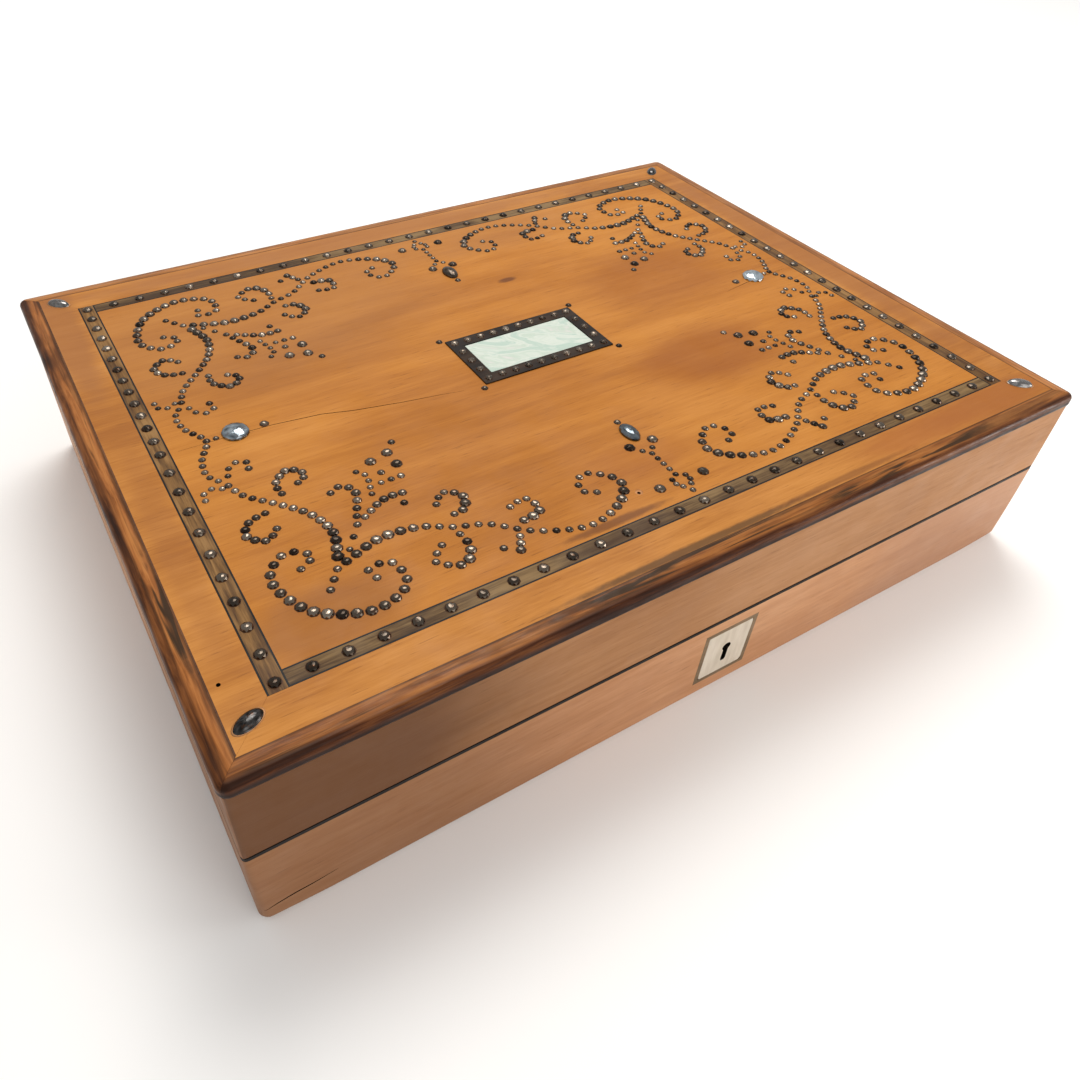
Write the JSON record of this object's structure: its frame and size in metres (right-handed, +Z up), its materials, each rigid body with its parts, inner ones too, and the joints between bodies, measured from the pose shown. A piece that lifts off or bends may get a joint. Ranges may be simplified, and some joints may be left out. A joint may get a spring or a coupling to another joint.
{
  "type": "games box",
  "caption": "Low wooden box with a hinged lid; the lid is set with scrolls of cut-steel studs round a pearl plaque inside a dark studded border, with a keyhole plate on the front.",
  "frame": {"origin": "on the ground under the middle of the box", "axes": "+Z up, +Y from the front with the keyhole to the back with the hinges, +X along the length to the right as seen from the front"},
  "size_m": [0.3012, 0.2316, 0.0697],
  "materials": {
    "carcass_wood": "plain planed wood",
    "side_veneer": "polished pinkish brown veneer",
    "field_veneer": "polished honey-coloured veneer",
    "crossband_veneer": "polished honey-coloured veneer",
    "moulding_wood": "polished dark hardwood, rubbed",
    "strip_wood": "grey-brown hardwood between black lines",
    "ebonised_wood": "black stained wood",
    "bone": "polished bone",
    "mother_of_pearl": "polished shell with a soft play of colour",
    "cut_steel": "faceted and polished, tarnished dark",
    "brass": "dull old brass"
  },
  "bodies": {
    "base": {"base_bottom_board": "carcass_wood", "base_front_wall": "side_veneer", "base_right_wall": "side_veneer", "base_back_wall": "side_veneer", "base_left_wall": "side_veneer", "base_edging_front": "ebonised_wood", "base_edging_right": "ebonised_wood", "base_edging_back": "ebonised_wood", "base_edging_left": "ebonised_wood", "keyhole_plate": "bone", "keyhole_plate_surround": "ebonised_wood", "lock": "brass", "hinge_left_lower_leaf": "brass", "hinge_right_lower_leaf": "brass"},
    "lid": {"lid_front_rail": "side_veneer", "lid_right_rail": "side_veneer", "lid_back_rail": "side_veneer", "lid_left_rail": "side_veneer", "lid_board": "carcass_wood", "lid_moulding_front": "moulding_wood", "lid_moulding_right": "moulding_wood", "lid_moulding_back": "moulding_wood", "lid_moulding_left": "moulding_wood", "crossband_front": "crossband_veneer", "crossband_right": "crossband_veneer", "crossband_back": "crossband_veneer", "crossband_left": "crossband_veneer", "studded_strip_left": "strip_wood", "studded_strip_right": "strip_wood", "studded_strip_front": "strip_wood", "studded_strip_back": "strip_wood", "field_panel": "field_veneer", "plaque_frame_front": "ebonised_wood", "plaque_frame_right": "ebonised_wood", "plaque_frame_back": "ebonised_wood", "plaque_frame_left": "ebonised_wood", "pearl_plaque": "mother_of_pearl", "jewel_front": "cut_steel", "jewel_right": "cut_steel", "jewel_back": "cut_steel", "jewel_left": "cut_steel", "corner_stud_front_left": "cut_steel", "corner_stud_front_right": "cut_steel", "corner_stud_back_left": "cut_steel", "corner_stud_back_right": "cut_steel", "lock_link_plate": "brass", "hinge_left_upper_leaf": "brass", "hinge_right_upper_leaf": "brass"}
  },
  "joints": [
    {"name": "lid_hinge", "type": "hinge", "parent": "base", "child": "lid", "pos_m": [0, 0.1157, 0.03555], "axis": [-1, 0, 0], "range_deg": [0, 100]}
  ]
}
